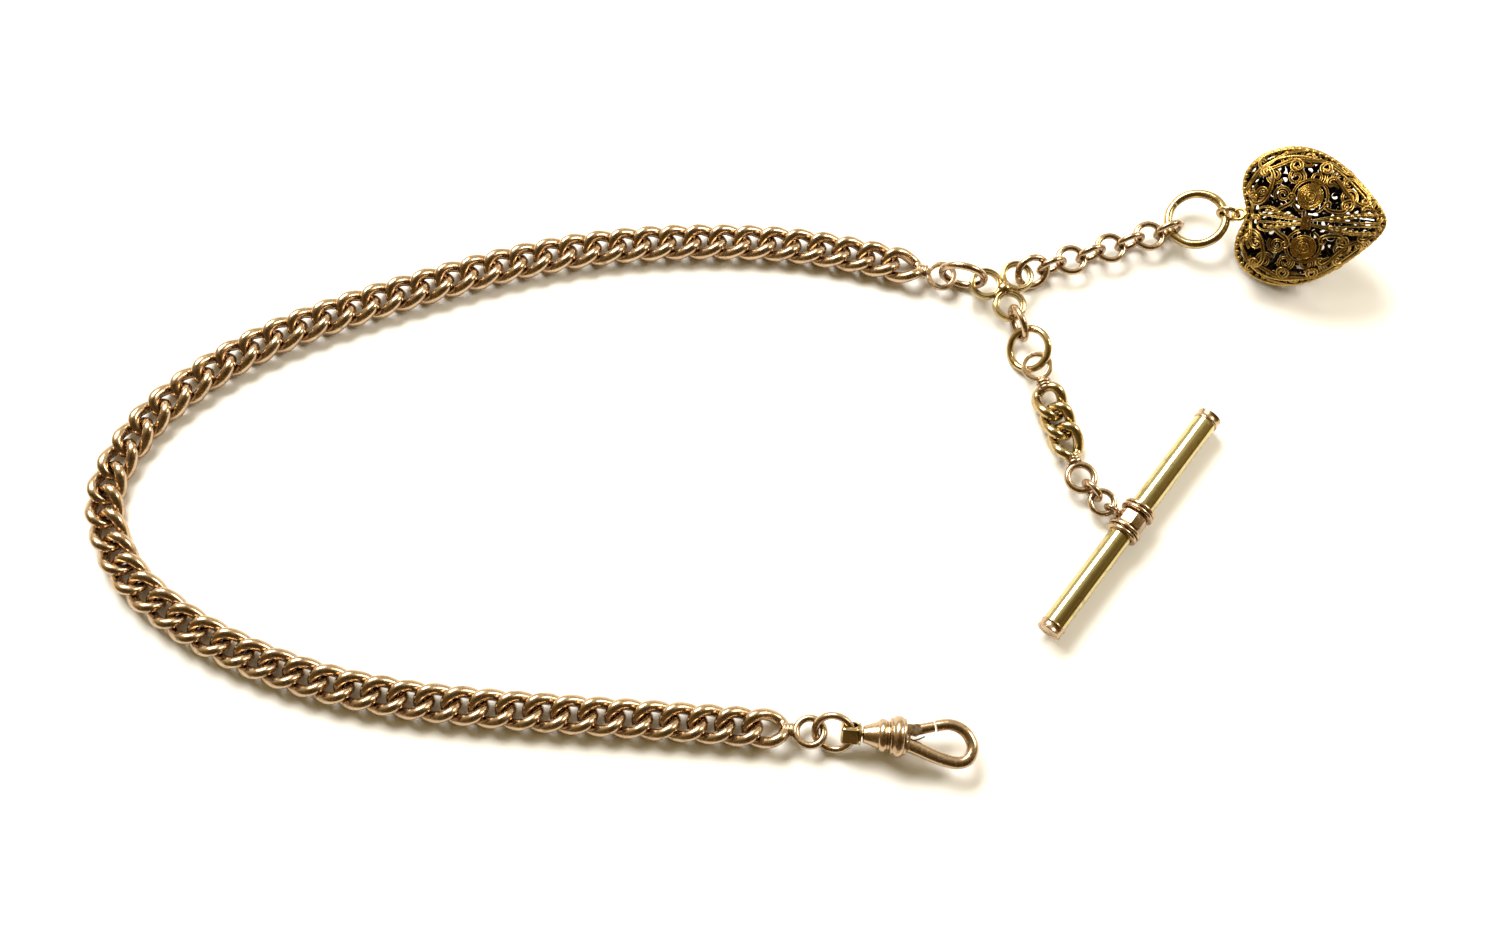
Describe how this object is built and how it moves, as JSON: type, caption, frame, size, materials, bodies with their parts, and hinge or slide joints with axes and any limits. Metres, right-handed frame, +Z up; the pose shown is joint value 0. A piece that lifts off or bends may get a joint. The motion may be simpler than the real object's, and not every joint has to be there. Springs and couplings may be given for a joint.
{
  "type": "pocket watch chain",
  "caption": "Curb link pocket watch chain with a swivel clasp, a T-bar and a short fob drop carrying a hollow filigree heart.",
  "frame": {"origin": "middle of the laid out chain's footprint, on the surface that it lies on", "axes": "+X from the chain's bend towards the heart, +Y away from the clasp's side towards the connector, +Z up off the surface"},
  "size_m": [0.1706, 0.0808, 0.0135],
  "materials": {
    "rose_gold_fill": "worn polish",
    "yellow_gold_fill": "polished",
    "antiqued_gilt": "antiqued",
    "spring_steel": "plain"
  },
  "bodies": {
    "bar_curb_link_1": {"bar_curb_link_1": "yellow_gold_fill", "bar_upper_ring": "rose_gold_fill"},
    "bar_curb_link_2": {"bar_curb_link_2": "yellow_gold_fill"},
    "bar_curb_link_3": {"bar_curb_link_3": "yellow_gold_fill", "bar_lower_ring": "rose_gold_fill"},
    "bar_drop_link": {"bar_drop_link": "rose_gold_fill"},
    "bar_drop_ring": {"bar_drop_ring": "yellow_gold_fill"},
    "bar_ring": {"bar_ring": "rose_gold_fill"},
    "bar_split_ring": {"bar_split_ring": "rose_gold_fill"},
    "charm_ring": {"charm_ring": "yellow_gold_fill"},
    "clasp": {"clasp_hook": "rose_gold_fill", "gate_pin": "spring_steel", "gate_spring": "spring_steel", "swivel_barrel": "rose_gold_fill"},
    "clasp_gate": {"clasp_gate": "rose_gold_fill"},
    "clasp_ring": {"clasp_ring": "rose_gold_fill"},
    "curb_run_01": {"curb_run_01": "rose_gold_fill", "upper_end_ring": "rose_gold_fill"},
    "curb_run_02": {"curb_run_02": "rose_gold_fill"},
    "curb_run_03": {"curb_run_03": "rose_gold_fill"},
    "curb_run_04": {"curb_run_04": "rose_gold_fill"},
    "curb_run_05": {"curb_run_05": "rose_gold_fill"},
    "curb_run_06": {"curb_run_06": "rose_gold_fill"},
    "curb_run_07": {"curb_run_07": "rose_gold_fill"},
    "curb_run_08": {"curb_run_08": "rose_gold_fill"},
    "curb_run_09": {"curb_run_09": "rose_gold_fill"},
    "curb_run_10": {"curb_run_10": "rose_gold_fill"},
    "curb_run_11": {"curb_run_11": "rose_gold_fill"},
    "curb_run_12": {"curb_run_12": "rose_gold_fill"},
    "curb_run_13": {"curb_run_13": "rose_gold_fill"},
    "curb_run_14": {"curb_run_14": "rose_gold_fill"},
    "curb_run_15": {"curb_run_15": "rose_gold_fill"},
    "curb_run_16": {"curb_run_16": "rose_gold_fill"},
    "curb_run_17": {"curb_run_17": "rose_gold_fill"},
    "curb_run_18": {"curb_run_18": "rose_gold_fill"},
    "curb_run_19": {"curb_run_19": "rose_gold_fill"},
    "curb_run_20": {"curb_run_20": "rose_gold_fill"},
    "curb_run_21": {"curb_run_21": "rose_gold_fill"},
    "curb_run_22": {"curb_run_22": "rose_gold_fill", "lower_end_ring": "rose_gold_fill"},
    "fob_jump_ring": {"fob_jump_ring": "rose_gold_fill"},
    "fob_link_1": {"fob_link_1": "rose_gold_fill"},
    "fob_link_2": {"fob_link_2": "rose_gold_fill"},
    "fob_link_3": {"fob_link_3": "rose_gold_fill"},
    "fob_link_4": {"fob_link_4": "rose_gold_fill"},
    "fob_link_5": {"fob_link_5": "rose_gold_fill"},
    "fob_link_6": {"fob_link_6": "rose_gold_fill"},
    "fob_link_7": {"fob_link_7": "rose_gold_fill"},
    "heart": {"heart_back": "antiqued_gilt", "heart_eye": "antiqued_gilt", "heart_front": "antiqued_gilt"},
    "heart_bail": {"heart_bail": "yellow_gold_fill"},
    "main_jump_ring": {"main_jump_ring": "rose_gold_fill"},
    "connector": {"trefoil_connector": "yellow_gold_fill"},
    "swivel_eye": {"swivel_eye": "rose_gold_fill"},
    "watch_bar": {"bar_cap_lower": "rose_gold_fill", "bar_cap_upper": "rose_gold_fill", "bar_collar": "rose_gold_fill", "bar_tube": "yellow_gold_fill"}
  },
  "joints": [
    {"name": "bar_curb_link_1_hinge", "type": "hinge", "parent": "bar_drop_ring", "child": "bar_curb_link_1", "pos_m": [0.03899, 0.01422, 0.002], "axis": [0, 0, -1], "range_deg": [-15, 15]},
    {"name": "bar_curb_link_2_hinge", "type": "hinge", "parent": "bar_curb_link_1", "child": "bar_curb_link_2", "pos_m": [0.04153, 0.00626, 0.0015], "axis": [0.9527, 0.304, 0], "range_deg": [-12, 12]},
    {"name": "bar_curb_link_3_hinge", "type": "hinge", "parent": "bar_curb_link_2", "child": "bar_curb_link_3", "pos_m": [0.04241, 0.00349, 0.0015], "axis": [0, 0, 1], "range_deg": [-15, 15]},
    {"name": "bar_drop_link_hinge", "type": "hinge", "parent": "connector", "child": "bar_drop_link", "pos_m": [0.03689, 0.01949, 0.0023], "axis": [0.9346, 0.3557, 0], "range_deg": [-25, 25]},
    {"name": "bar_drop_ring_hinge", "type": "hinge", "parent": "bar_drop_link", "child": "bar_drop_ring", "pos_m": [0.03781, 0.01706, 0.002], "axis": [0, 0, 1], "range_deg": [-20, 20]},
    {"name": "bar_ring_hinge", "type": "hinge", "parent": "bar_split_ring", "child": "bar_ring", "pos_m": [0.04607, -0.00498, 0.0017], "axis": [0, 0, 1], "range_deg": [-25, 25]},
    {"name": "bar_split_ring_hinge", "type": "hinge", "parent": "bar_curb_link_3", "child": "bar_split_ring", "pos_m": [0.0455, -0.00423, 0.0017], "axis": [0.7944, 0.6074, 0], "range_deg": [-25, 25]},
    {"name": "charm_ring_hinge", "type": "hinge", "parent": "fob_link_7", "child": "charm_ring", "pos_m": [0.06032, 0.0331, 0.00212], "axis": [0, 0, 1], "range_deg": [-30, 30]},
    {"name": "clasp_swivel", "type": "hinge", "parent": "swivel_eye", "child": "clasp", "pos_m": [0.02059, -0.03661, 0.00265], "axis": [0.9973, -0.0732, 0], "continuous": true},
    {"name": "clasp_gate_hinge", "type": "hinge", "parent": "clasp", "child": "clasp_gate", "pos_m": [0.0217, -0.03576, 0.00265], "axis": [0, 0, -1], "range_deg": [0, 20], "stiffness_Nm_per_rad": 0.004, "springref_deg": -8.59, "deforming": ["gate_spring"]},
    {"name": "clasp_ring_hinge", "type": "hinge", "parent": "curb_run_22", "child": "clasp_ring", "pos_m": [0.01041, -0.03593, 0.0017], "axis": [0, 0, 1], "range_deg": [-16, 16]},
    {"name": "curb_run_01_hinge", "type": "hinge", "parent": "main_jump_ring", "child": "curb_run_01", "pos_m": [0.0276, 0.02583, 0.0016], "axis": [0, 0, 1], "range_deg": [-25, 25]},
    {"name": "curb_run_02_hinge", "type": "hinge", "parent": "curb_run_01", "child": "curb_run_02", "pos_m": [0.01706, 0.02869, 0.0015], "axis": [0, 0, 1], "range_deg": [-12, 12]},
    {"name": "curb_run_03_hinge", "type": "hinge", "parent": "curb_run_02", "child": "curb_run_03", "pos_m": [0.00695, 0.03048, 0.0015], "axis": [0.0932, 0.9957, 0], "range_deg": [-12, 12]},
    {"name": "curb_run_04_hinge", "type": "hinge", "parent": "curb_run_03", "child": "curb_run_04", "pos_m": [-0.00332, 0.03101, 0.0015], "axis": [0, 0, -1], "range_deg": [-12, 12]},
    {"name": "curb_run_05_hinge", "type": "hinge", "parent": "curb_run_04", "child": "curb_run_05", "pos_m": [-0.01361, 0.0307, 0.0015], "axis": [0.0763, -0.9971, 0], "range_deg": [-12, 12]},
    {"name": "curb_run_06_hinge", "type": "hinge", "parent": "curb_run_05", "child": "curb_run_06", "pos_m": [-0.02381, 0.02942, 0.0015], "axis": [0, 0, 1], "range_deg": [-12, 6]},
    {"name": "curb_run_07_hinge", "type": "hinge", "parent": "curb_run_06", "child": "curb_run_07", "pos_m": [-0.03383, 0.02711, 0.0015], "axis": [-0.2741, 0.9617, 0], "range_deg": [-12, 12]},
    {"name": "curb_run_08_hinge", "type": "hinge", "parent": "curb_run_07", "child": "curb_run_08", "pos_m": [-0.04367, 0.0241, 0.0015], "axis": [0, 0, -1], "range_deg": [-6, 12]},
    {"name": "curb_run_09_hinge", "type": "hinge", "parent": "curb_run_08", "child": "curb_run_09", "pos_m": [-0.05341, 0.02078, 0.0015], "axis": [0.3528, -0.9357, 0], "range_deg": [-12, 12]},
    {"name": "curb_run_10_hinge", "type": "hinge", "parent": "curb_run_09", "child": "curb_run_10", "pos_m": [-0.0629, 0.01681, 0.0015], "axis": [0, 0, 1], "range_deg": [-12, 12]},
    {"name": "curb_run_11_hinge", "type": "hinge", "parent": "curb_run_10", "child": "curb_run_11", "pos_m": [-0.07163, 0.01142, 0.0015], "axis": [-0.6104, 0.7921, 0], "range_deg": [-12, 12]},
    {"name": "curb_run_12_hinge", "type": "hinge", "parent": "curb_run_11", "child": "curb_run_12", "pos_m": [-0.07896, 0.00426, 0.0015], "axis": [0, 0, -1], "range_deg": [-12, 12]},
    {"name": "curb_run_13_hinge", "type": "hinge", "parent": "curb_run_12", "child": "curb_run_13", "pos_m": [-0.08276, -0.00512, 0.0015], "axis": [0.9981, -0.0621, 0], "range_deg": [-12, 12]},
    {"name": "curb_run_14_hinge", "type": "hinge", "parent": "curb_run_13", "child": "curb_run_14", "pos_m": [-0.07946, -0.01453, 0.0015], "axis": [0, 0, 1], "range_deg": [-12, 12]},
    {"name": "curb_run_15_hinge", "type": "hinge", "parent": "curb_run_14", "child": "curb_run_15", "pos_m": [-0.07182, -0.0213, 0.0015], "axis": [-0.5222, -0.8528, 0], "range_deg": [-12, 12]},
    {"name": "curb_run_16_hinge", "type": "hinge", "parent": "curb_run_15", "child": "curb_run_16", "pos_m": [-0.06272, -0.0261, 0.0015], "axis": [0, 0, -1], "range_deg": [-12, 12]},
    {"name": "curb_run_17_hinge", "type": "hinge", "parent": "curb_run_16", "child": "curb_run_17", "pos_m": [-0.05302, -0.02949, 0.0015], "axis": [0.2535, 0.9673, 0], "range_deg": [-12, 12]},
    {"name": "curb_run_18_hinge", "type": "hinge", "parent": "curb_run_17", "child": "curb_run_18", "pos_m": [-0.04296, -0.03162, 0.0015], "axis": [0, 0, 1], "range_deg": [-12, 12]},
    {"name": "curb_run_19_hinge", "type": "hinge", "parent": "curb_run_18", "child": "curb_run_19", "pos_m": [-0.03274, -0.03278, 0.0015], "axis": [-0.0799, -0.9968, 0], "range_deg": [-12, 12]},
    {"name": "curb_run_20_hinge", "type": "hinge", "parent": "curb_run_19", "child": "curb_run_20", "pos_m": [-0.02248, -0.03359, 0.0015], "axis": [0, 0, -1], "range_deg": [-12, 12]},
    {"name": "curb_run_21_hinge", "type": "hinge", "parent": "curb_run_20", "child": "curb_run_21", "pos_m": [-0.01222, -0.03428, 0.0015], "axis": [0.0692, 0.9976, 0], "range_deg": [-12, 12]},
    {"name": "curb_run_22_hinge", "type": "hinge", "parent": "curb_run_21", "child": "curb_run_22", "pos_m": [-0.00195, -0.03501, 0.0015], "axis": [0, 0, 1], "range_deg": [-12, 12]},
    {"name": "fob_jump_ring_hinge", "type": "hinge", "parent": "connector", "child": "fob_jump_ring", "pos_m": [0.03918, 0.02611, 0.0023], "axis": [-0.3502, 0.9367, 0], "range_deg": [-5, 25]},
    {"name": "fob_link_1_hinge", "type": "hinge", "parent": "fob_jump_ring", "child": "fob_link_1", "pos_m": [0.04164, 0.02694, 0.00212], "axis": [-0.3131, 0.9497, 0], "range_deg": [-30, 30]},
    {"name": "fob_link_2_hinge", "type": "hinge", "parent": "fob_link_1", "child": "fob_link_2", "pos_m": [0.04397, 0.02771, 0.00212], "axis": [0, 0, -1], "range_deg": [-30, 30]},
    {"name": "fob_link_3_hinge", "type": "hinge", "parent": "fob_link_2", "child": "fob_link_3", "pos_m": [0.0467, 0.02861, 0.00212], "axis": [0.3131, -0.9497, 0], "range_deg": [-30, 30]},
    {"name": "fob_link_4_hinge", "type": "hinge", "parent": "fob_link_3", "child": "fob_link_4", "pos_m": [0.04942, 0.02951, 0.00212], "axis": [0, 0, 1], "range_deg": [-30, 30]},
    {"name": "fob_link_5_hinge", "type": "hinge", "parent": "fob_link_4", "child": "fob_link_5", "pos_m": [0.05215, 0.03041, 0.00212], "axis": [-0.3131, 0.9497, 0], "range_deg": [-30, 30]},
    {"name": "fob_link_6_hinge", "type": "hinge", "parent": "fob_link_5", "child": "fob_link_6", "pos_m": [0.05487, 0.0313, 0.00212], "axis": [0, 0, -1], "range_deg": [-30, 30]},
    {"name": "fob_link_7_hinge", "type": "hinge", "parent": "fob_link_6", "child": "fob_link_7", "pos_m": [0.0576, 0.0322, 0.00212], "axis": [0.3131, -0.9497, 0], "range_deg": [-30, 30]},
    {"name": "heart_hinge", "type": "hinge", "parent": "heart_bail", "child": "heart", "pos_m": [0.06675, 0.03366, 0.00498], "axis": [0, 0, 1], "range_deg": [-15, 15]},
    {"name": "heart_bail_hinge", "type": "hinge", "parent": "charm_ring", "child": "heart_bail", "pos_m": [0.06606, 0.03392, 0.00391], "axis": [-0.342, -0.9397, 0], "range_deg": [-10, 25]},
    {"name": "main_jump_ring_hinge", "type": "hinge", "parent": "connector", "child": "main_jump_ring", "pos_m": [0.03137, 0.02485, 0.0023], "axis": [-0.2497, -0.9683, 0], "range_deg": [-25, 25]},
    {"name": "swivel_eye_hinge", "type": "hinge", "parent": "clasp_ring", "child": "swivel_eye", "pos_m": [0.01379, -0.03611, 0.00265], "axis": [0.0593, 0.8068, 0.5878], "range_deg": [-30, 30]},
    {"name": "watch_bar_hinge", "type": "hinge", "parent": "bar_ring", "child": "watch_bar", "pos_m": [0.0482, -0.00719, 0.0017], "axis": [0.6239, 0.7815, 0], "range_deg": [-25, 25]}
  ]
}
